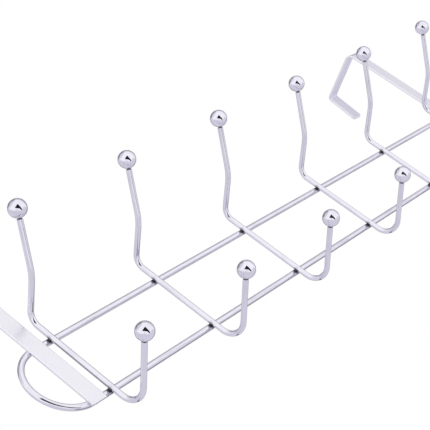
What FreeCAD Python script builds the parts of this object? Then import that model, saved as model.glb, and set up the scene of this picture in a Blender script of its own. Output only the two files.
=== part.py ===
import FreeCAD, Part
import math
import os

# Over-door rack of six double wire hooks with ball ends.
# The rack hangs on a door: +Z is up, -Y is the room side, X runs along the rack.
# The origin is on the top edge of the door, at its room face, in the middle of the rack.

# Row of hooks, millimetres
HOOK_COUNT = 6
HOOK_PITCH = 85.0

# Closed wire frame behind the hooks
RAIL_RADIUS = 1.75
RAIL_SPACING = 41.0
END_REACH = 12.8
# Depth of the weld seats that the frame wire presses into hook wires and strips
SEAT_DEPTH = 0.2

# Hook wire
WIRE_RADIUS = 1.6
ARM_START = 14.6
ARM_LOW_SLOPE = 16.5
ARM_HIGH_SLOPE = 34.8
ARM_KNEE_REACH = 24.6
ARM_REACH = 52.7
ARM_BEND_RADIUS = 7.5
ARM_KNEE_RADIUS = 31.0
J_DROP = 20.5
J_SLOPE = 19.8
J_REACH = 41.7
J_BEND_RADIUS = 9.6

# Ball ends, each on a turned-down spigot of the wire
BALL_RADIUS = 5.0
NECK_GAP = 0.4
SPIGOT_SHARE = 0.7
SPIGOT_DEPTH_SHARE = 0.7

# Strips that go over the door
STRIP_REACH = 11.6
STRIP_WIDTH = 10.6
STRIP_THICKNESS = 1.5
STRIP_RISE = 87.0
STRIP_TAIL = 1.1
STRIP_FRONT_RADIUS = 4.0
STRIP_BACK_RADIUS = 2.0
DOOR_ROOM = 36.0
LIP_LENGTH = 25.5
LIP_FLARE = 5.0
LIP_CORNER = 2.0

# Points nearer than this are the same
SAME_PLACE = 0.001

# Sizes that follow from the ones above
SPIGOT_RADIUS = SPIGOT_SHARE * WIRE_RADIUS
SPIGOT_DEPTH = SPIGOT_DEPTH_SHARE * BALL_RADIUS
RAIL_Y = -RAIL_RADIUS
UPPER_RAIL_Z = -STRIP_RISE
LOWER_RAIL_Z = UPPER_RAIL_Z - RAIL_SPACING
HOOK_Y = RAIL_Y - RAIL_RADIUS - WIRE_RADIUS + SEAT_DEPTH
STRIP_BACK_Y = RAIL_Y - RAIL_RADIUS + SEAT_DEPTH
FIRST_HOOK_X = -0.5 * HOOK_PITCH * (HOOK_COUNT - 1)
LOOP_CENTRE_X = -FIRST_HOOK_X + END_REACH
STRIP_X = -FIRST_HOOK_X + STRIP_REACH
LOOP_RADIUS = 0.5 * RAIL_SPACING
LOOP_CENTRE_Z = 0.5 * (UPPER_RAIL_Z + LOWER_RAIL_Z)


def unit(angle):
    """Direction in the side view: towards the room and up by the angle in degrees."""
    a = math.radians(angle)
    return FreeCAD.Vector(0, -math.cos(a), math.sin(a))


def rounded_path(points, radii):
    """Edges of a path through the points, each inner corner rounded by its radius."""
    edges = []
    start = points[0]
    for i, radius in enumerate(radii):
        corner = points[i + 1]
        back = (points[i] - corner).normalize()
        ahead = (points[i + 2] - corner).normalize()
        half = 0.5 * back.getAngle(ahead)
        reach = radius / math.tan(half)
        middle = (back + ahead).normalize()
        centre = corner + middle * (radius / math.sin(half))
        a = corner + back * reach
        b = corner + ahead * reach
        edges.append(Part.makeLine(start, a))
        edges.append(Part.Arc(a, centre - middle * radius, b).toShape())
        start = b
    edges.append(Part.makeLine(start, points[-1]))
    return edges


def round_bar(edges, radius):
    """Round bar of the given radius along a path of edges."""
    path = Part.Wire(edges)
    begin = edges[0].valueAt(edges[0].FirstParameter)
    along = edges[0].tangentAt(edges[0].FirstParameter)
    ring = Part.Wire([Part.makeCircle(radius, begin, along)])
    return path.makePipe(Part.Face(ring))


def rail_solid():
    """Closed frame wire: two long rails joined by a half circle at each end."""
    top_left = FreeCAD.Vector(-LOOP_CENTRE_X, RAIL_Y, UPPER_RAIL_Z)
    top_right = FreeCAD.Vector(LOOP_CENTRE_X, RAIL_Y, UPPER_RAIL_Z)
    low_left = FreeCAD.Vector(-LOOP_CENTRE_X, RAIL_Y, LOWER_RAIL_Z)
    low_right = FreeCAD.Vector(LOOP_CENTRE_X, RAIL_Y, LOWER_RAIL_Z)
    far_left = FreeCAD.Vector(-LOOP_CENTRE_X - LOOP_RADIUS, RAIL_Y, LOOP_CENTRE_Z)
    far_right = FreeCAD.Vector(LOOP_CENTRE_X + LOOP_RADIUS, RAIL_Y, LOOP_CENTRE_Z)
    upper = Part.makeLine(top_left, top_right)
    right = Part.Arc(top_right, far_right, low_right).toShape()
    lower = Part.makeLine(low_right, low_left)
    left = Part.Arc(low_left, far_left, top_left).toShape()
    return round_bar([upper, right, lower, left], RAIL_RADIUS)


# Ends and corners of the hook wire in the side view
ARM_CORNER = FreeCAD.Vector(0, HOOK_Y, UPPER_RAIL_Z + ARM_START)
ARM_KNEE = ARM_CORNER + unit(ARM_LOW_SLOPE) * (ARM_KNEE_REACH / math.cos(math.radians(ARM_LOW_SLOPE)))
ARM_TIP_RUN = (ARM_REACH - ARM_KNEE_REACH) / math.cos(math.radians(ARM_HIGH_SLOPE))
UPPER_BALL = ARM_KNEE + unit(ARM_HIGH_SLOPE) * ARM_TIP_RUN
J_CORNER = FreeCAD.Vector(0, HOOK_Y, LOWER_RAIL_Z - J_DROP)
LOWER_BALL = J_CORNER + unit(J_SLOPE) * (J_REACH / math.cos(math.radians(J_SLOPE)))


def hook_wire_solid(rails):
    """Hook wire in the middle plane, with a turned-down spigot at both ends."""
    shoulder = BALL_RADIUS + NECK_GAP
    arm_end = UPPER_BALL - unit(ARM_HIGH_SLOPE) * shoulder
    j_end = LOWER_BALL - unit(J_SLOPE) * shoulder
    corners = [arm_end, ARM_KNEE, ARM_CORNER, J_CORNER, j_end]
    radii = [ARM_KNEE_RADIUS, ARM_BEND_RADIUS, J_BEND_RADIUS]
    bar = round_bar(rounded_path(corners, radii), WIRE_RADIUS)
    length = NECK_GAP + SPIGOT_DEPTH
    arm_spigot = Part.makeCylinder(SPIGOT_RADIUS, length, arm_end, unit(ARM_HIGH_SLOPE))
    j_spigot = Part.makeCylinder(SPIGOT_RADIUS, length, j_end, unit(J_SLOPE))
    return bar.fuse([arm_spigot, j_spigot]).removeSplitter().cut(rails)


def ball_solid(centre, angle):
    """Ball with a blind bore that takes the spigot of the hook wire."""
    mouth = centre - unit(angle) * BALL_RADIUS
    ball = Part.makeSphere(BALL_RADIUS, centre)
    bore = Part.makeCylinder(SPIGOT_RADIUS, SPIGOT_DEPTH, mouth, unit(angle))
    lead = Part.makeCylinder(SPIGOT_RADIUS, BALL_RADIUS, mouth - unit(angle) * BALL_RADIUS, unit(angle))
    return ball.cut(bore.fuse(lead))


def strip_solid():
    """Flat strip in the middle plane: up the door, over its top and down behind it."""
    flare = math.radians(LIP_FLARE)
    back_y = DOOR_ROOM
    lip_y = back_y + LIP_LENGTH * math.tan(flare)
    tail_z = LOWER_RAIL_Z - RAIL_RADIUS - STRIP_TAIL
    shift = STRIP_THICKNESS / math.cos(flare)
    outer_corner_y = back_y + shift - STRIP_THICKNESS * math.tan(flare)
    inner = [
        FreeCAD.Vector(0, STRIP_BACK_Y, tail_z),
        FreeCAD.Vector(0, STRIP_BACK_Y, 0),
        FreeCAD.Vector(0, back_y, 0),
        FreeCAD.Vector(0, lip_y, -LIP_LENGTH),
    ]
    outer = [
        FreeCAD.Vector(0, lip_y + shift, -LIP_LENGTH),
        FreeCAD.Vector(0, outer_corner_y, STRIP_THICKNESS),
        FreeCAD.Vector(0, STRIP_BACK_Y - STRIP_THICKNESS, STRIP_THICKNESS),
        FreeCAD.Vector(0, STRIP_BACK_Y - STRIP_THICKNESS, tail_z),
    ]
    edges = rounded_path(inner, [STRIP_FRONT_RADIUS, STRIP_BACK_RADIUS])
    edges.append(Part.makeLine(inner[-1], outer[0]))
    outer_radii = [STRIP_BACK_RADIUS + STRIP_THICKNESS, STRIP_FRONT_RADIUS + STRIP_THICKNESS]
    edges += rounded_path(outer, outer_radii)
    edges.append(Part.makeLine(outer[-1], inner[0]))
    side = Part.Face(Part.Wire(edges))
    side.translate(FreeCAD.Vector(-0.5 * STRIP_WIDTH, 0, 0))
    strip = side.extrude(FreeCAD.Vector(STRIP_WIDTH, 0, 0))
    tips = [e for e in strip.Edges if is_lip_corner(e)]
    return strip.makeFillet(LIP_CORNER, tips)


def is_lip_corner(edge):
    """True for the two edges through the thickness at the lip's lower end."""
    a = edge.Vertexes[0].Point
    b = edge.Vertexes[-1].Point
    at_end = max(abs(a.z + LIP_LENGTH), abs(b.z + LIP_LENGTH)) < SAME_PLACE
    return at_end and abs(a.x - b.x) < SAME_PLACE and min(a.y, b.y) > DOOR_ROOM


def save(shape, name):
    """Writes one piece."""
    shape.exportStep("parts/" + name + ".step")


os.makedirs("parts", exist_ok=True)
rails = rail_solid()
save(rails, "frame_loop")

# The hook wires are made in the middle plane, where the straight rails cut their seats
wire = hook_wire_solid(rails)
upper_ball = ball_solid(UPPER_BALL, ARM_HIGH_SLOPE)
lower_ball = ball_solid(LOWER_BALL, J_SLOPE)
for i in range(HOOK_COUNT):
    shift = FreeCAD.Vector(FIRST_HOOK_X + i * HOOK_PITCH, 0, 0)
    save(wire.translated(shift), "hook_wire_" + str(i + 1))
    save(upper_ball.translated(shift), "ball_upper_" + str(i + 1))
    save(lower_ball.translated(shift), "ball_lower_" + str(i + 1))

# The strips cross the rails where the end bends begin, so they are seated in place
strip = strip_solid()
left_strip = strip.translated(FreeCAD.Vector(-STRIP_X, 0, 0))
right_strip = strip.translated(FreeCAD.Vector(STRIP_X, 0, 0))
save(left_strip.cut(rails), "door_strip_left")
save(right_strip.cut(rails), "door_strip_right")
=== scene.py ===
import bpy
import numpy as np
from mathutils import Matrix, Vector


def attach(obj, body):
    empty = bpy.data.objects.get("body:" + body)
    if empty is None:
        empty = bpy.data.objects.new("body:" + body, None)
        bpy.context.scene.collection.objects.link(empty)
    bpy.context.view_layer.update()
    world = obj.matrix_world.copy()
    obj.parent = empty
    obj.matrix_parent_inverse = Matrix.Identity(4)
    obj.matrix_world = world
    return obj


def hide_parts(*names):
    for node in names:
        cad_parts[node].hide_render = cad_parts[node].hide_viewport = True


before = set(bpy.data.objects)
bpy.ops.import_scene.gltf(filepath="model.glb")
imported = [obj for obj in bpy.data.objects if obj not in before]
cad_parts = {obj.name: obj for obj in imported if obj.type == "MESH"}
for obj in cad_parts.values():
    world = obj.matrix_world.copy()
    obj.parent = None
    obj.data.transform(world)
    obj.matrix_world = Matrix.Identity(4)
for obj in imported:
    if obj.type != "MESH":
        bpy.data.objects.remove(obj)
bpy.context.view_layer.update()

# Over-door rack of six double wire hooks with ball ends.
# +Z is up, -Y is the room side, X runs along the rack, and the door's top edge is at z = 0.

MM = 0.001
X_AXIS = np.array([1.0, 0.0, 0.0])
Y_AXIS = np.array([0.0, 1.0, 0.0])
Z_AXIS = np.array([0.0, 0.0, 1.0])

# Row of hooks
HOOK_COUNT = 6
HOOK_PITCH = 85.0 * MM
FIRST_HOOK_X = -0.5 * HOOK_PITCH * (HOOK_COUNT - 1)
HOOK_X = FIRST_HOOK_X + HOOK_PITCH * np.arange(HOOK_COUNT)

# Closed frame wire
RAIL_RADIUS = 1.75 * MM
RAIL_SPACING = 41.0 * MM
END_REACH = 12.8 * MM
STRIP_RISE = 87.0 * MM
SEAT_DEPTH = 0.2 * MM
RAIL_Y = -RAIL_RADIUS
UPPER_RAIL_Z = -STRIP_RISE
LOWER_RAIL_Z = UPPER_RAIL_Z - RAIL_SPACING
LOOP_CENTRE_X = -FIRST_HOOK_X + END_REACH

# Hook wire in the side view
WIRE_RADIUS = 1.6 * MM
HOOK_Y = RAIL_Y - RAIL_RADIUS - WIRE_RADIUS + SEAT_DEPTH
ARM_START = 14.6 * MM
ARM_LOW_SLOPE = 16.5
ARM_HIGH_SLOPE = 34.8
ARM_KNEE_REACH = 24.6 * MM
ARM_REACH = 52.7 * MM
ARM_BEND_RADIUS = 7.5 * MM
ARM_KNEE_RADIUS = 31.0 * MM
J_DROP = 20.5 * MM
J_SLOPE = 19.8
J_REACH = 41.7 * MM
J_BEND_RADIUS = 9.6 * MM
WIRE_END_CHAMFER = 0.22 * MM

# Ball ends on the wire's turned-down spigot, whose tip is a little thinner
BALL_RADIUS = 5.0 * MM
NECK_GAP = 0.4 * MM
SPIGOT_RADIUS = 0.7 * WIRE_RADIUS
SPIGOT_TIP_RADIUS = 0.9 * SPIGOT_RADIUS
SPIGOT_DEPTH = 0.7 * BALL_RADIUS

# Mouth of a ball's bore: depth inside the mouth and radius beyond the spigot, from inside out
MOUTH_ROUNDING = 0.12 * MM
MOUTH_LIP = np.array([
    (0.5 * MM, 0.0),
    (2.0 * MOUTH_ROUNDING, 0.0),
    (0.3 * MOUTH_ROUNDING, 0.3 * MOUTH_ROUNDING),
])

# Strips over the door, with the rounding of their edges and the plain margin beside it
STRIP_X = -FIRST_HOOK_X + 11.6 * MM
STRIP_WIDTH = 10.6 * MM
STRIP_THICKNESS = 1.5 * MM
STRIP_TAIL = 1.1 * MM
STRIP_FRONT_RADIUS = 4.0 * MM
STRIP_BACK_RADIUS = 2.0 * MM
STRIP_EDGE = 0.5 * MM
STRIP_MARGIN = 0.5 * MM
STRIP_BACK_Y = RAIL_Y - RAIL_RADIUS + SEAT_DEPTH
DOOR_ROOM = 36.0 * MM
LIP_LENGTH = 25.5 * MM
LIP_FLARE = 5.0
LIP_CORNER = 2.0 * MM

# Weld fillet under a hook wire: reach, draw-in of its waist and overrun into both wires
WELD_REACH = 1.25 * MM
WELD_HOLLOW = 0.16 * MM
WELD_OVERRUN = 0.15
# Ripples of its edge: share of the reach, lobes around, and turn per metre along the rack
WELD_RIPPLES = ((0.07, 3.0, 40.0), (0.05, 5.0, 300.0))

# Weld wedge behind a strip: stop short of the strip's edge, middle's place and half thickness
WEDGE_MARGIN = 0.2 * MM
WEDGE_LIFT = 0.06 * MM
WEDGE_HALF = 0.35 * MM
# Its taper towards the ends, smallest end, roundness, and ripple as for the fillet
WEDGE_TAPER = 6
WEDGE_TIP = 0.02
WEDGE_BULGE = 0.7
WEDGE_RIPPLE = (0.08, 9.0, 60.0)

# Painted shade in the weld and neck gaps: full shade within the first distance, none past the
# second
WELD_PAINTED_SHADE = (1.7 * MM, 3.1 * MM)
NECK_PAINTED_SHADE = (1.35 * MM, 1.68 * MM)
JOINT_PAINTED_SHADE = (0.17, 0.17, 0.19)

# Fineness of the surfaces
SHARP_ANGLE = np.radians(40.0)
WIRE_SIDES = 40
PATH_STEP = 1.2 * MM
LONG_STEP = 8.0 * MM
STRIP_STEP = 4.0 * MM
ARC_STEP = np.radians(4.0)
BALL_RINGS = 48
BALL_SIDES = 72
# Gap between a ball's last ring and its far pole, in ring spacings
POLE_GAP = 0.25
CORNER_POINTS = 6
# Most of a strip's half thickness that its rounded edge may take
EDGE_SHARE = 0.999
# Rings of a strip's rounded end, and of these the first at the lip's corners
END_RINGS = 9
LIP_RINGS_FROM = 3
# First rings past the end's rounding and past the lip's corners, in their radii
PAST_EDGE = 1.5
PAST_CORNER = 1.1
# Plain body of a strip, from its end and from the lip's end in the same radii
BODY_PAST_EDGE = 2.0
BODY_PAST_CORNER = 1.2
FILLET_SIDES = 48
FILLET_RINGS = 9
WEDGE_SIDES = 24
WEDGE_RINGS = 25

# Plating: detail and spread of the clouds, the film that varies the gloss, and the fine marks
CLOUD_DETAIL = 4.0
CLOUD_SPREAD = (0.42, 0.72)
FILM_SIZE = 310.0
FILM_DETAIL = 6.0
FILM_SPREAD = (0.35, 0.75)
MARK_DETAIL = 3.0
MARK_DEPTH = 0.1 * MM
FINISHES = {
    "wire_chrome": {
        "Tint": (0.87, 0.86, 0.94, 1.0), "Cloud Tint": (0.81, 0.80, 0.88, 1.0),
        "Cloud Size": 90.0, "Gloss": 0.08, "Haze": 0.11,
        "Mark Size": 1400.0, "Mark Height": 0.02,
    },
    "ball_chrome": {
        "Tint": (0.88, 0.87, 0.96, 1.0), "Cloud Tint": (0.82, 0.81, 0.90, 1.0),
        "Cloud Size": 160.0, "Gloss": 0.03, "Haze": 0.08,
        "Mark Size": 1800.0, "Mark Height": 0.015,
    },
    "strip_chrome": {
        "Tint": (0.965, 0.951, 1.0, 1.0), "Cloud Tint": (0.943, 0.929, 0.995, 1.0),
        "Cloud Size": 45.0, "Gloss": 0.34, "Haze": 0.39,
        "Mark Size": 1100.0, "Mark Height": 0.003,
    },
}

# Camera, from the fit of the rails, strips and balls to the photograph
CAMERA_PLACE = (-0.66313, -0.45391, -0.34999)
VIEW_FORWARD = np.array([0.757614, 0.553544, 0.345847])
VIEW_UP = np.array([0.309015, -0.770915, 0.556956])
VIEW_RIGHT = np.cross(VIEW_FORWARD, VIEW_UP)
SENSOR_WIDTH = 36.0
LENS = 115.17
VIEW_RANGE = (0.01, 50.0)

# Studio
WHITE = (1.0, 1.0, 1.0, 1.0)
SOFT_LIGHT = 0.9
FLOOR_Z = -1.7
FLOOR_HALF = 6.0
FLOOR_GLOW = 0.95
FLOOR_COLOUR = (0.9, 0.9, 0.9, 1.0)
FLOOR_ROUGHNESS = 0.9


def towards(bearing, height):
    """Direction at a bearing from +X round to +Z and a height out to the room, in degrees."""
    a = np.radians(bearing)
    h = np.radians(height)
    return np.array([np.cos(h) * np.cos(a), -np.sin(h), np.cos(h) * np.sin(a)])


# Grey parts of the tent: middle, cosines between which the edge fades, shade
TENT_FLAGS = [
    (towards(14.0, 10.0), 0.829, 0.951, (0.71, 0.695, 0.755)),
    (towards(44.0, 6.0), 0.850, 0.945, (0.60, 0.59, 0.625)),
    (towards(305.0, 2.0), 0.79, 0.94, (0.73, 0.72, 0.77)),
    (towards(95.0, 2.0), 0.743, 0.906, (0.72, 0.71, 0.75)),
    (towards(215.0, 8.0), 0.914, 0.990, (0.82, 0.81, 0.85)),
    (towards(270.0, -69.0), 0.03, 0.20, (0.70, 0.685, 0.755)),
    (VIEW_FORWARD, 0.62, 0.82, (0.34, 0.33, 0.37)),
    (towards(85.0, -18.0), 0.914, 0.985, (0.22, 0.215, 0.25)),
    (towards(72.0, 4.0), 0.927, 0.990, (0.27, 0.265, 0.30)),
]

# Opening of the tent around the camera, right and up from it in metres
OPENING = ((-0.34, 0.03), (0.30, -0.04), (1.15, -0.56), (1.30, -0.36), (0.38, 0.36), (0.05, 0.80))
OPENING_SHADE = (0.020, 0.018, 0.028)

# Painted contact shadow: a dark card under the rack, seen only in the chrome, which draws the dark
# lower edge of the lower rail
UNDER_SHADOW_CARD = np.array([(-240, 4, -150), (270, 4, -150), (270, 18, -150), (-240, 18, -150)]) * MM
UNDER_SHADOW_TONE = (0.19, 0.185, 0.21)

# Painted shadow: dark cards behind the narrow gap between each end hook and its door strip, seen
# only in the chrome
GAP_X = (-FIRST_HOOK_X, STRIP_X - 0.5 * STRIP_WIDTH)
GAP_Y = -3.0 * MM
GAP_Z = (-89.5 * MM, -125.5 * MM)
GAP_SHADOW_TONE = (0.32, 0.315, 0.34)

# Painted reflection: a glowing grey card beside the far end, seen only in the chrome, which shades
# the inner face of the far lip
LIP_REFLECTION_CARD = np.array([(252, 8, -30), (310, 8, -30), (310, 8, 32), (252, 8, 32)]) * MM
LIP_REFLECTION_TONE = (0.58, 0.57, 0.66)

# Painted reflection: a glowing pale card below the far end, seen only in the chrome, which lights
# the underside of the far strip's top run
TOP_REFLECTION_CARD = np.array([(250, 15, -23), (315, 15, -23), (315, 72, -23), (250, 72, -23)]) * MM
TOP_REFLECTION_TONE = (0.67, 0.66, 0.77)


def slope_direction(degrees):
    """Unit vector in the side view: towards the room by cos and up by sin of the angle."""
    a = np.radians(degrees)
    return np.array([0.0, -np.cos(a), np.sin(a)])


# Ends and corners of the hook wire in the side view
ARM_CORNER = np.array([0.0, HOOK_Y, UPPER_RAIL_Z + ARM_START])
ARM_LOW_RUN = ARM_KNEE_REACH / np.cos(np.radians(ARM_LOW_SLOPE))
ARM_HIGH_RUN = (ARM_REACH - ARM_KNEE_REACH) / np.cos(np.radians(ARM_HIGH_SLOPE))
ARM_KNEE = ARM_CORNER + slope_direction(ARM_LOW_SLOPE) * ARM_LOW_RUN
UPPER_BALL = ARM_KNEE + slope_direction(ARM_HIGH_SLOPE) * ARM_HIGH_RUN
J_CORNER = np.array([0.0, HOOK_Y, LOWER_RAIL_Z - J_DROP])
J_RUN = J_REACH / np.cos(np.radians(J_SLOPE))
LOWER_BALL = J_CORNER + slope_direction(J_SLOPE) * J_RUN


def straight_run(start, end, step):
    """Points start + (end - start) * t, t even from 0 to 1, and the run's direction at each."""
    length = np.linalg.norm(end - start)
    count = max(2, int(np.ceil(length / step)) + 1)
    t = np.linspace(0.0, 1.0, count)[:, None]
    points = start + (end - start) * t
    return points, np.repeat(((end - start) / length)[None], count, 0)


def arc_run(start, direction, inward, radius, turn):
    """Points start + radius * (sin(a) * direction + (1 - cos(a)) * inward), a from 0 to turn."""
    count = max(3, int(np.ceil(turn / ARC_STEP)) + 1)
    a = np.linspace(0.0, turn, count)[:, None]
    points = start + radius * (np.sin(a) * direction + (1.0 - np.cos(a)) * inward)
    return points, np.cos(a) * direction + np.sin(a) * inward


def rounded_path(corners, radii, step):
    """Path through the corners as straight runs and arcs.
    With b the direction back and f the direction on at a corner and h half the angle between
    them, the arc of radius r starts r / tan(h) before the corner and turns by pi - 2 h."""
    runs = []
    start = corners[0]
    for corner, before, after, radius in zip(corners[1:-1], corners[:-2], corners[2:], radii):
        back = (before - corner) / np.linalg.norm(before - corner)
        on = (after - corner) / np.linalg.norm(after - corner)
        half = 0.5 * np.arccos(np.clip(back @ on, -1.0, 1.0))
        reach = radius / np.tan(half)
        turn = np.pi - 2.0 * half
        inward = on + back * np.cos(turn)
        inward = inward / np.linalg.norm(inward)
        runs.append(straight_run(start, corner + back * reach, step))
        runs.append(arc_run(corner + back * reach, -back, inward, radius, turn))
        start = corner + on * reach
    runs.append(straight_run(start, corners[-1], step))
    points = [runs[0][0]] + [run[0][1:] for run in runs[1:]]
    tangents = [runs[0][1]] + [run[1][1:] for run in runs[1:]]
    return np.concatenate(points), np.concatenate(tangents)


def make_piece(name, vertices, faces, material):
    """Mesh object at the origin from an array of corners and a list of face index arrays."""
    mesh = bpy.data.meshes.new(name)
    mesh.from_pydata(vertices.tolist(), [], faces)
    mesh.validate()
    mesh.polygons.foreach_set("use_smooth", np.ones(len(mesh.polygons), dtype=bool))
    mesh.set_sharp_from_angle(angle=SHARP_ANGLE)
    mesh.materials.append(material)
    piece = bpy.data.objects.new(name, mesh)
    bpy.context.scene.collection.objects.link(piece)
    return piece


def ring_faces(rings, sides, closed):
    """Quads between neighbouring rings of a grid that is closed around and, if asked, along."""
    last = rings if closed else rings - 1
    i, j = np.meshgrid(np.arange(last), np.arange(sides), indexing="ij")
    a = i * sides + j
    b = i * sides + (j + 1) % sides
    c = ((i + 1) % rings) * sides + (j + 1) % sides
    d = ((i + 1) % rings) * sides + j
    return np.stack([a, b, c, d], -1).reshape(-1, 4)


def cap_faces(first, sides, tip, turned):
    """Triangles from one ring of a grid to its tip point."""
    j = np.arange(sides)
    a = first + j
    b = first + (j + 1) % sides
    tips = np.full(sides, tip)
    order = [a, b, tips] if turned else [b, a, tips]
    return np.stack(order, -1)


def skin(rings, closed):
    """Corners and faces of the skin over rings of points, each end closed to its own middle."""
    count, sides = rings.shape[:2]
    vertices = rings.reshape(-1, 3)
    faces = ring_faces(count, sides, closed).tolist()
    if not closed:
        middles = np.stack([rings[0].mean(0), rings[-1].mean(0)])
        tip = count * sides
        faces += cap_faces(0, sides, tip, False).tolist()
        faces += cap_faces((count - 1) * sides, sides, tip + 1, True).tolist()
        vertices = np.concatenate([vertices, middles])
    return vertices, faces


def joined(parts):
    """Corners and faces of several skins as one."""
    vertices = []
    faces = []
    count = 0
    for part_vertices, part_faces in parts:
        vertices.append(part_vertices)
        faces += [[k + count for k in face] for face in part_faces]
        count += len(part_vertices)
    return np.concatenate(vertices), faces


def round_rings(points, tangents, across, radii, sides):
    """Rings p + r * (cos(u) * n + sin(u) * across), n = across x tangent, u even around."""
    u = np.linspace(0.0, 2.0 * np.pi, sides, endpoint=False)[None, :, None]
    normals = np.cross(np.broadcast_to(across, tangents.shape), tangents)[:, None, :]
    return points[:, None, :] + radii[:, None, None] * (np.cos(u) * normals + np.sin(u) * across)


def frame_wire_skin():
    """Round bar along a closed path: two rails joined by half circles in the plane y = RAIL_Y."""
    low_left = np.array([-LOOP_CENTRE_X, RAIL_Y, LOWER_RAIL_Z])
    low_right = np.array([LOOP_CENTRE_X, RAIL_Y, LOWER_RAIL_Z])
    top_left = np.array([-LOOP_CENTRE_X, RAIL_Y, UPPER_RAIL_Z])
    top_right = np.array([LOOP_CENTRE_X, RAIL_Y, UPPER_RAIL_Z])
    runs = [
        straight_run(low_left, low_right, LONG_STEP),
        arc_run(low_right, X_AXIS, Z_AXIS, 0.5 * RAIL_SPACING, np.pi),
        straight_run(top_right, top_left, LONG_STEP),
        arc_run(top_left, -X_AXIS, -Z_AXIS, 0.5 * RAIL_SPACING, np.pi),
    ]
    points = np.concatenate([run[0][:-1] for run in runs])
    tangents = np.concatenate([run[1][:-1] for run in runs])
    radii = np.full(len(points), RAIL_RADIUS)
    return skin(round_rings(points, tangents, Y_AXIS, radii, WIRE_SIDES), True)


def hook_wire_skin(x):
    """Round bar along the hook's path, stepped down at both ends.
    Beyond each end the radius goes through the chamfer to the spigot, which runs into the ball."""
    shoulder = BALL_RADIUS + NECK_GAP
    corners = np.array([
        UPPER_BALL - slope_direction(ARM_HIGH_SLOPE) * shoulder,
        ARM_KNEE,
        ARM_CORNER,
        J_CORNER,
        LOWER_BALL - slope_direction(J_SLOPE) * shoulder,
    ])
    bends = [ARM_KNEE_RADIUS, ARM_BEND_RADIUS, J_BEND_RADIUS]
    points, tangents = rounded_path(corners, bends, PATH_STEP)
    tip = -NECK_GAP - SPIGOT_DEPTH
    inset = np.array([tip, tip, 0.0, 0.0, WIRE_END_CHAMFER])
    size = np.array([SPIGOT_TIP_RADIUS, SPIGOT_RADIUS, SPIGOT_RADIUS,
                     WIRE_RADIUS - WIRE_END_CHAMFER, WIRE_RADIUS])
    first = points[0] + inset[:, None] * tangents[0]
    last = points[-1] - inset[::-1, None] * tangents[-1]
    points = np.concatenate([first, points[1:-1], last])
    tangents = np.concatenate([np.repeat(tangents[:1], len(inset), 0), tangents[1:-1],
                               np.repeat(tangents[-1:], len(inset), 0)])
    middle = np.full(len(points) - 2 * len(inset), WIRE_RADIUS)
    radii = np.concatenate([size, middle, size[::-1]])
    return skin(round_rings(points + x * X_AXIS, tangents, X_AXIS, radii, WIRE_SIDES), False)


def ball_skin(centre, direction):
    """Ball turned about the wire's line.
    Its outline is (distance along, radius): out of the bore, round a small lip at the mouth,
    then the circle (-R cos(a), R sin(a)) from the mouth's angle to the far pole."""
    mouth = np.arcsin((SPIGOT_RADIUS + MOUTH_ROUNDING) / BALL_RADIUS)
    a = np.linspace(mouth, np.pi * (1.0 - POLE_GAP / BALL_RINGS), BALL_RINGS)
    along = -BALL_RADIUS * np.cos(a)
    along = np.concatenate([along[0] + MOUTH_LIP[:, 0], along])
    radius = np.concatenate([SPIGOT_RADIUS + MOUTH_LIP[:, 1], BALL_RADIUS * np.sin(a)])
    points = centre + along[:, None] * direction
    tangents = np.repeat(direction[None], len(points), 0)
    return skin(round_rings(points, tangents, X_AXIS, radius, BALL_SIDES), False)


def strip_section(half_width, half_thickness):
    """Rounded rectangle at each station: corner middles plus the edge radius * (cos, sin).
    The radius is STRIP_EDGE, or nearly the half thickness where that is less. Each arc's end on
    a broad face is followed by a point STRIP_MARGIN further in, which keeps that face flat."""
    arc = np.linspace(0.0, 90.0, CORNER_POINTS)
    up_to = np.append(arc, 90.0)
    on_from = np.append(0.0, arc)
    u = np.radians(np.stack([up_to, on_from + 90.0, up_to + 180.0, on_from + 270.0]))
    further = np.zeros_like(u)
    further[0::2, -1] = STRIP_MARGIN
    further[1::2, 0] = STRIP_MARGIN
    edge = np.minimum(STRIP_EDGE, EDGE_SHARE * half_thickness)[:, None, None]
    sign_w = np.array([1.0, -1.0, -1.0, 1.0])[None, :, None]
    sign_t = np.array([1.0, 1.0, -1.0, -1.0])[None, :, None]
    w = sign_w * (half_width[:, None, None] - edge - further) + edge * np.cos(u)[None]
    t = sign_t * (half_thickness[:, None, None] - edge) + edge * np.sin(u)[None]
    return w.reshape(len(half_width), -1), t.reshape(len(half_width), -1)


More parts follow.
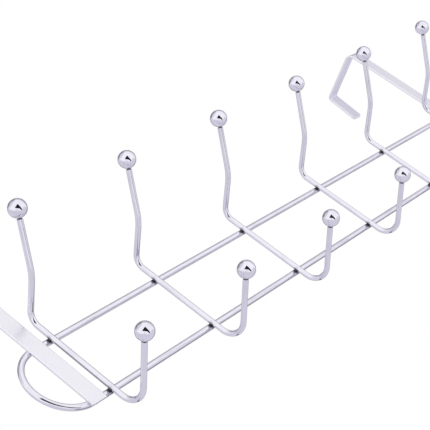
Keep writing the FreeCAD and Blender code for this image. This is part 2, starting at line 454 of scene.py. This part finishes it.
def strip_skin(x):
    """Flat bar along the strip's middle line, with the lip's two lower corners rounded.
    Within LIP_CORNER of the lip's end the half width loses R - sqrt(R^2 - (R - d)^2),
    d being the distance from the end, and both ends draw in by STRIP_EDGE."""
    half = 0.5 * STRIP_THICKNESS
    flare = np.radians(LIP_FLARE)
    front = STRIP_BACK_Y - half
    back = DOOR_ROOM + half / np.cos(flare) - half * np.tan(flare)
    lip_y = DOOR_ROOM + LIP_LENGTH * np.tan(flare) + half / np.cos(flare)
    corners = np.array([
        [x, front, LOWER_RAIL_Z - RAIL_RADIUS - STRIP_TAIL],
        [x, front, half],
        [x, back, half],
        [x, lip_y, -LIP_LENGTH],
    ])
    bends = [STRIP_FRONT_RADIUS + half, STRIP_BACK_RADIUS + half]
    points, tangents = rounded_path(corners, bends, STRIP_STEP)
    spans = np.linalg.norm(np.diff(points, axis=0), axis=1)
    length = np.concatenate([[0.0], np.cumsum(spans)])
    total = length[-1]
    quarter = 1.0 - np.cos(np.radians(np.linspace(0.0, 90.0, END_RINGS)))
    at_end = STRIP_EDGE * np.concatenate([quarter, [PAST_EDGE]])
    at_lip = LIP_CORNER * np.concatenate([quarter[LIP_RINGS_FROM:], [PAST_CORNER]])
    plain = length > BODY_PAST_EDGE * STRIP_EDGE
    plain &= length < total - BODY_PAST_CORNER * LIP_CORNER
    s = np.unique(np.concatenate([at_end, length[plain], total - at_lip, total - at_end]))
    where = np.stack([np.interp(s, length, points[:, k]) for k in range(3)], -1)
    along = np.stack([np.interp(s, length, tangents[:, k]) for k in range(3)], -1)
    along = along / np.linalg.norm(along, axis=1)[:, None]
    from_end = np.minimum(s, total - s)
    near = np.clip(1.0 - from_end / STRIP_EDGE, 0.0, 1.0)
    inset = STRIP_EDGE * (1.0 - np.sqrt(1.0 - near ** 2))
    from_lip = np.clip(1.0 - (total - s) / LIP_CORNER, 0.0, 1.0)
    rounding = LIP_CORNER * (1.0 - np.sqrt(1.0 - from_lip ** 2))
    w, t = strip_section(0.5 * STRIP_WIDTH - np.maximum(inset, rounding), half - inset)
    out = np.cross(along, X_AXIS)
    rings = where[:, None, :] + w[:, :, None] * X_AXIS + t[:, :, None] * out[:, None, :]
    return skin(rings[:, ::-1], False)


def wire_weld_skin(x, rail_z):
    """Fillet between the frame wire and a hook wire that crosses it.
    Around the crossing it stands on the circle of WELD_REACH, from the frame wire's surface
    y = RAIL_Y - sqrt(R^2 - v^2) to the hook wire's y = HOOK_Y + sqrt(r^2 - u^2), and its
    waist draws in by WELD_HOLLOW * sin(pi t)."""
    angle = np.linspace(0.0, 2.0 * np.pi, FILLET_SIDES, endpoint=False)
    t = np.linspace(-WELD_OVERRUN, 1.0 + WELD_OVERRUN, FILLET_RINGS)[:, None]
    ripple = 1.0
    for share, lobes, turn in WELD_RIPPLES:
        ripple = ripple + share * np.sin(lobes * angle + turn * x)
    reach = WELD_REACH * ripple
    u = reach * np.cos(angle)
    v = reach * np.sin(angle)
    y_rail = RAIL_Y - np.sqrt(RAIL_RADIUS ** 2 - v ** 2)
    y_wire = HOOK_Y + np.sqrt(WIRE_RADIUS ** 2 - u ** 2)
    waist = 1.0 - WELD_HOLLOW / WELD_REACH * np.sin(np.pi * np.clip(t, 0.0, 1.0))
    y = y_rail + (y_wire - y_rail) * t
    rings = np.stack([x + u * waist, y, rail_z + v * waist], -1)
    return skin(rings, False)


def strip_weld_skin(x, rail_z):
    """Fillets along both sides of the line on which a strip bears on the frame wire.
    The section is a thin rounded wedge between the wire's surface and the strip's back, which
    tapers towards the strip's edges by sqrt(1 - s^WEDGE_TAPER)."""
    half_length = 0.5 * STRIP_WIDTH - WEDGE_MARGIN
    s = np.linspace(-1.0, 1.0, WEDGE_RINGS)
    size = np.sqrt(np.clip(1.0 - s ** WEDGE_TAPER, WEDGE_TIP, 1.0))
    around = np.linspace(0.0, 2.0 * np.pi, WEDGE_SIDES, endpoint=False)[None]
    share, lobes, turn = WEDGE_RIPPLE
    reach = WELD_REACH * (1.0 + share * np.sin(lobes * s + turn * x)) * size
    v = reach[:, None] * np.cos(around)
    bulge = np.abs(np.sin(around)) ** WEDGE_BULGE * np.sign(np.sin(around))
    y = STRIP_BACK_Y + WEDGE_LIFT + bulge * WEDGE_HALF * size[:, None]
    along = np.broadcast_to((x + s * half_length)[:, None], v.shape)
    return skin(np.stack([along, y, rail_z + v], -1), False)


def add_node(tree, kind, settings=None, values=None):
    """New node in a tree, with its settings and the fixed values of its inputs."""
    node = tree.nodes.new(kind)
    for name, value in (settings or {}).items():
        setattr(node, name, value)
    for name, value in (values or {}).items():
        node.inputs[name].default_value = value
    return node


def folded(tree, value, start, half):
    """Distance from the nearest of the places start + 2 * half * n."""
    shift = add_node(tree, "ShaderNodeMath", {"operation": "SUBTRACT"}, {1: start})
    fold = add_node(tree, "ShaderNodeMath", {"operation": "PINGPONG"}, {1: half})
    tree.links.new(value, shift.inputs[0])
    tree.links.new(shift.outputs["Value"], fold.inputs[0])
    return fold.outputs["Value"]


def painted_joint_shade_group():
    """Painted shade: dark rings in the gaps of the joints, where shade falls, by the distance from
    each joint's middle.
    The place along the rack is folded to the distance from the nearest hook, and for the welds
    the height is folded to the distance from the nearer rail, so one point stands for all."""
    group = bpy.data.node_groups.new("joint_painted_shade", "ShaderNodeTree")
    group.interface.new_socket("Shade", in_out="OUTPUT", socket_type="NodeSocketFloat")
    link = group.links.new
    place = add_node(group, "ShaderNodeTexCoord")
    parts = add_node(group, "ShaderNodeSeparateXYZ")
    link(place.outputs["Object"], parts.inputs["Vector"])
    along = folded(group, parts.outputs["X"], FIRST_HOOK_X, 0.5 * HOOK_PITCH)
    height = folded(group, parts.outputs["Z"], UPPER_RAIL_Z, 0.5 * RAIL_SPACING)
    shoulder = BALL_RADIUS + 0.5 * NECK_GAP
    upper_neck = UPPER_BALL - slope_direction(ARM_HIGH_SLOPE) * shoulder
    lower_neck = LOWER_BALL - slope_direction(J_SLOPE) * shoulder
    weld = np.array([0.0, RAIL_Y - RAIL_RADIUS, 0.0])
    shade = None
    for level, point, (inner, outer) in (
        (height, weld, WELD_PAINTED_SHADE),
        (parts.outputs["Z"], upper_neck, NECK_PAINTED_SHADE),
        (parts.outputs["Z"], lower_neck, NECK_PAINTED_SHADE),
    ):
        spot = add_node(group, "ShaderNodeCombineXYZ")
        link(along, spot.inputs["X"])
        link(parts.outputs["Y"], spot.inputs["Y"])
        link(level, spot.inputs["Z"])
        apart = add_node(group, "ShaderNodeVectorMath", {"operation": "DISTANCE"}, {1: point})
        link(spot.outputs["Vector"], apart.inputs[0])
        fade = add_node(group, "ShaderNodeMapRange", {"interpolation_type": "SMOOTHSTEP"},
                        {"From Min": outer, "From Max": inner})
        link(apart.outputs["Value"], fade.inputs["Value"])
        if shade is None:
            shade = fade.outputs["Result"]
            continue
        larger = add_node(group, "ShaderNodeMath", {"operation": "MAXIMUM"})
        link(shade, larger.inputs[0])
        link(fade.outputs["Result"], larger.inputs[1])
        shade = larger.outputs["Value"]
    link(shade, add_node(group, "NodeGroupOutput").inputs["Shade"])
    return group


def plating_group():
    """Chrome plating: cloudy tint and gloss, with fine polishing marks and painted shade in the
    joints' gaps.
    The tint mixes Tint and Cloud Tint by a soft noise of Cloud Size, the roughness runs from
    Gloss to Haze by a second noise, and the height is a finer noise of Mark Size."""
    group = bpy.data.node_groups.new("chrome_plating", "ShaderNodeTree")
    face = group.interface
    for label in ("Tint", "Cloud Tint", "Joint Painted Shade"):
        face.new_socket(label, in_out="INPUT", socket_type="NodeSocketColor")
    for label in ("Cloud Size", "Gloss", "Haze", "Mark Size", "Mark Height"):
        face.new_socket(label, in_out="INPUT", socket_type="NodeSocketFloat")
    face.new_socket("Colour", in_out="OUTPUT", socket_type="NodeSocketColor")
    face.new_socket("Roughness", in_out="OUTPUT", socket_type="NodeSocketFloat")
    face.new_socket("Normal", in_out="OUTPUT", socket_type="NodeSocketVector")
    link = group.links.new
    given = add_node(group, "NodeGroupInput")
    result = add_node(group, "NodeGroupOutput")
    place = add_node(group, "ShaderNodeTexCoord")

    cloud = add_node(group, "ShaderNodeTexNoise", values={"Detail": CLOUD_DETAIL})
    link(place.outputs["Object"], cloud.inputs["Vector"])
    link(given.outputs["Cloud Size"], cloud.inputs["Scale"])
    spread = add_node(group, "ShaderNodeMapRange", {"interpolation_type": "SMOOTHSTEP"},
                      {"From Min": CLOUD_SPREAD[0], "From Max": CLOUD_SPREAD[1]})
    link(cloud.outputs["Fac"], spread.inputs["Value"])
    tint = add_node(group, "ShaderNodeMix", {"data_type": "RGBA"})
    link(spread.outputs["Result"], tint.inputs["Factor"])
    link(given.outputs["Tint"], tint.inputs["A"])
    link(given.outputs["Cloud Tint"], tint.inputs["B"])
    joint = add_node(group, "ShaderNodeGroup", {"node_tree": painted_joint_shade_group()})
    colour = add_node(group, "ShaderNodeMix", {"data_type": "RGBA"})
    link(joint.outputs["Shade"], colour.inputs["Factor"])
    link(tint.outputs["Result"], colour.inputs["A"])
    link(given.outputs["Joint Painted Shade"], colour.inputs["B"])
    link(colour.outputs["Result"], result.inputs["Colour"])

    film = add_node(group, "ShaderNodeTexNoise",
                    values={"Scale": FILM_SIZE, "Detail": FILM_DETAIL})
    link(place.outputs["Object"], film.inputs["Vector"])
    gloss = add_node(group, "ShaderNodeMapRange",
                     values={"From Min": FILM_SPREAD[0], "From Max": FILM_SPREAD[1]})
    link(film.outputs["Fac"], gloss.inputs["Value"])
    link(given.outputs["Gloss"], gloss.inputs["To Min"])
    link(given.outputs["Haze"], gloss.inputs["To Max"])
    link(gloss.outputs["Result"], result.inputs["Roughness"])

    marks = add_node(group, "ShaderNodeTexNoise", values={"Detail": MARK_DETAIL})
    link(place.outputs["Object"], marks.inputs["Vector"])
    link(given.outputs["Mark Size"], marks.inputs["Scale"])
    relief = add_node(group, "ShaderNodeBump", values={"Distance": MARK_DEPTH})
    link(marks.outputs["Fac"], relief.inputs["Height"])
    link(given.outputs["Mark Height"], relief.inputs["Strength"])
    link(relief.outputs["Normal"], result.inputs["Normal"])
    return group


def chrome(name, group, finish):
    """Chromed steel: a metal whose tint, gloss and fine marks come from the plating group."""
    material = bpy.data.materials.new(name)
    material.use_nodes = True
    tree = material.node_tree
    shader = tree.nodes["Principled BSDF"]
    shader.inputs["Metallic"].default_value = 1.0
    plating = add_node(tree, "ShaderNodeGroup", {"node_tree": group}, finish)
    # Colour of the painted shade in the gaps at the welds and the necks
    plating.inputs["Joint Painted Shade"].default_value = (*JOINT_PAINTED_SHADE, 1.0)
    tree.links.new(plating.outputs["Colour"], shader.inputs["Base Color"])
    tree.links.new(plating.outputs["Roughness"], shader.inputs["Roughness"])
    tree.links.new(plating.outputs["Normal"], shader.inputs["Normal"])
    return material


def glowing(name, colour):
    """Plain glowing surface for a studio card."""
    material = bpy.data.materials.new(name)
    material.use_nodes = True
    tree = material.node_tree
    tree.nodes.clear()
    glow = add_node(tree, "ShaderNodeEmission", values={"Color": (*colour, 1.0)})
    out = add_node(tree, "ShaderNodeOutputMaterial")
    tree.links.new(glow.outputs["Emission"], out.inputs["Surface"])
    return material


def seen_directly(tree):
    """Value that is 1 for camera, glossy and transmission rays and 0 for all others."""
    path = add_node(tree, "ShaderNodeLightPath")
    first = add_node(tree, "ShaderNodeMath", {"operation": "MAXIMUM"})
    second = add_node(tree, "ShaderNodeMath", {"operation": "MAXIMUM"})
    tree.links.new(path.outputs["Is Camera Ray"], first.inputs[0])
    tree.links.new(path.outputs["Is Glossy Ray"], first.inputs[1])
    tree.links.new(first.outputs["Value"], second.inputs[0])
    tree.links.new(path.outputs["Is Transmission Ray"], second.inputs[1])
    return second.outputs["Value"]


def set_world(light, flags):
    """White tent where it is seen, and a soft even light everywhere else.
    The chrome also sees flags in the tent: each is a round patch about a direction, whose
    share rises smoothly while the cosine of the angle from it goes from low to high."""
    world = bpy.data.worlds.new("studio")
    world.use_nodes = True
    bpy.context.scene.world = world
    tree = world.node_tree
    link = tree.links.new
    sight = add_node(tree, "ShaderNodeTexCoord")
    colour = None
    for direction, low, high, shade in flags:
        unit = direction / np.linalg.norm(direction)
        along = add_node(tree, "ShaderNodeVectorMath", {"operation": "DOT_PRODUCT"}, {1: unit})
        link(sight.outputs["Generated"], along.inputs[0])
        patch = add_node(tree, "ShaderNodeMapRange", {"interpolation_type": "SMOOTHSTEP"},
                         {"From Min": low, "From Max": high})
        link(along.outputs["Value"], patch.inputs["Value"])
        mix = add_node(tree, "ShaderNodeMix", {"data_type": "RGBA"},
                       {"A": WHITE, "B": (*shade, 1.0)})
        link(patch.outputs["Result"], mix.inputs["Factor"])
        if colour:
            link(colour, mix.inputs["A"])
        colour = mix.outputs["Result"]
    path = add_node(tree, "ShaderNodeLightPath")
    tent = add_node(tree, "ShaderNodeMix", {"data_type": "RGBA"}, {"A": WHITE})
    link(path.outputs["Is Glossy Ray"], tent.inputs["Factor"])
    link(colour, tent.inputs["B"])
    strength = add_node(tree, "ShaderNodeMapRange", values={"To Min": light, "To Max": 1.0})
    link(seen_directly(tree), strength.inputs["Value"])
    background = tree.nodes["Background"]
    link(tent.outputs["Result"], background.inputs["Color"])
    link(strength.outputs["Result"], background.inputs["Strength"])


def add_floor():
    """Plain pale floor far below the rack, as below a door. The chrome sees only the tent."""
    material = bpy.data.materials.new("pale_floor")
    material.use_nodes = True
    tree = material.node_tree
    link = tree.links.new
    shader = tree.nodes["Principled BSDF"]
    shader.inputs["Base Color"].default_value = FLOOR_COLOUR
    shader.inputs["Roughness"].default_value = FLOOR_ROUGHNESS
    glow = add_node(tree, "ShaderNodeEmission", values={"Color": WHITE})
    blend = add_node(tree, "ShaderNodeMixShader")
    share = add_node(tree, "ShaderNodeMath", {"operation": "MULTIPLY"}, {1: FLOOR_GLOW})
    link(seen_directly(tree), share.inputs[0])
    link(share.outputs["Value"], blend.inputs["Fac"])
    link(shader.outputs["BSDF"], blend.inputs[1])
    link(glow.outputs["Emission"], blend.inputs[2])
    link(blend.outputs["Shader"], tree.nodes["Material Output"].inputs["Surface"])
    half = FLOOR_HALF
    corners = np.array([(-half, -half, FLOOR_Z), (half, -half, FLOOR_Z),
                        (half, half, FLOOR_Z), (-half, half, FLOOR_Z)])
    floor = make_piece("floor", corners, [[0, 1, 2, 3]], material)
    floor.visible_glossy = False


def add_card(name, corners, material):
    """Studio card through the given corners, seen only in the chrome."""
    card = make_piece(name, np.array(corners), [list(range(len(corners)))], material)
    card.visible_camera = False
    card.visible_shadow = False
    card.visible_diffuse = False


def add_camera():
    """Camera at the photograph's viewing angle."""
    data = bpy.data.cameras.new("camera")
    data.sensor_fit = "HORIZONTAL"
    data.sensor_width = SENSOR_WIDTH
    data.lens = LENS
    data.clip_start, data.clip_end = VIEW_RANGE
    camera = bpy.data.objects.new("camera", data)
    turn = Matrix(np.stack([VIEW_RIGHT, VIEW_UP, -VIEW_FORWARD], 1).tolist()).to_4x4()
    camera.matrix_world = Matrix.Translation(Vector(CAMERA_PLACE)) @ turn
    bpy.context.scene.collection.objects.link(camera)
    bpy.context.scene.camera = camera


def placed(name, parts, material, nodes):
    """Finished piece that rides on the rack and stands for its CAD nodes."""
    vertices, faces = joined(parts)
    piece = make_piece(name, vertices, faces, material)
    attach(piece, "root")
    if nodes:
        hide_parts(*nodes)


add_camera()
set_world(SOFT_LIGHT, TENT_FLAGS)
add_floor()
add_card("opening", [
    np.array(CAMERA_PLACE) + right * VIEW_RIGHT + up * VIEW_UP for right, up in OPENING
], glowing("tent_opening", OPENING_SHADE))
# Painted contact shadow under the lower rail, seen only in the chrome
add_card("rail_shadow_card", UNDER_SHADOW_CARD, glowing("rail_painted_shadow", UNDER_SHADOW_TONE))
# Painted shadow in the gaps beside the end hooks, seen only in the chrome
gap_painted_shadow = glowing("gap_painted_shadow", GAP_SHADOW_TONE)
for side, label in ((-1.0, "left"), (1.0, "right")):
    add_card("gap_shadow_card_" + label, [
        (side * GAP_X[0], GAP_Y, GAP_Z[0]), (side * GAP_X[1], GAP_Y, GAP_Z[0]),
        (side * GAP_X[1], GAP_Y, GAP_Z[1]), (side * GAP_X[0], GAP_Y, GAP_Z[1]),
    ], gap_painted_shadow)
# Painted reflection that darkens the far lip, seen only in the chrome
add_card("lip_reflection_card", LIP_REFLECTION_CARD, glowing("lip_painted_reflection", LIP_REFLECTION_TONE))
# Painted reflection that lights the far strip's top run, seen only in the chrome
add_card("top_reflection_card", TOP_REFLECTION_CARD, glowing("top_painted_reflection", TOP_REFLECTION_TONE))

plating = plating_group()
chromes = {name: chrome(name, plating, finish) for name, finish in FINISHES.items()}

placed("frame_wire", [frame_wire_skin()], chromes["wire_chrome"], ["frame_loop"])
for i, x in enumerate(HOOK_X):
    number = str(i + 1)
    shift = x * X_AXIS
    placed("hook_" + number, [hook_wire_skin(x)], chromes["wire_chrome"],
           ["hook_wire_" + number])
    placed("upper_end_" + number, [ball_skin(UPPER_BALL + shift, slope_direction(ARM_HIGH_SLOPE))],
           chromes["ball_chrome"], ["ball_upper_" + number])
    placed("lower_end_" + number, [ball_skin(LOWER_BALL + shift, slope_direction(J_SLOPE))],
           chromes["ball_chrome"], ["ball_lower_" + number])
for side, label in ((-1.0, "left"), (1.0, "right")):
    placed("strip_" + label, [strip_skin(side * STRIP_X)], chromes["strip_chrome"],
           ["door_strip_" + label])
for label, z in (("upper", UPPER_RAIL_Z), ("lower", LOWER_RAIL_Z)):
    placed("hook_welds_" + label, [wire_weld_skin(x, z) for x in HOOK_X],
           chromes["wire_chrome"], [])
    placed("strip_welds_" + label, [strip_weld_skin(x, z) for x in (-STRIP_X, STRIP_X)],
           chromes["wire_chrome"], [])

bpy.context.scene.view_settings.view_transform = "Standard"
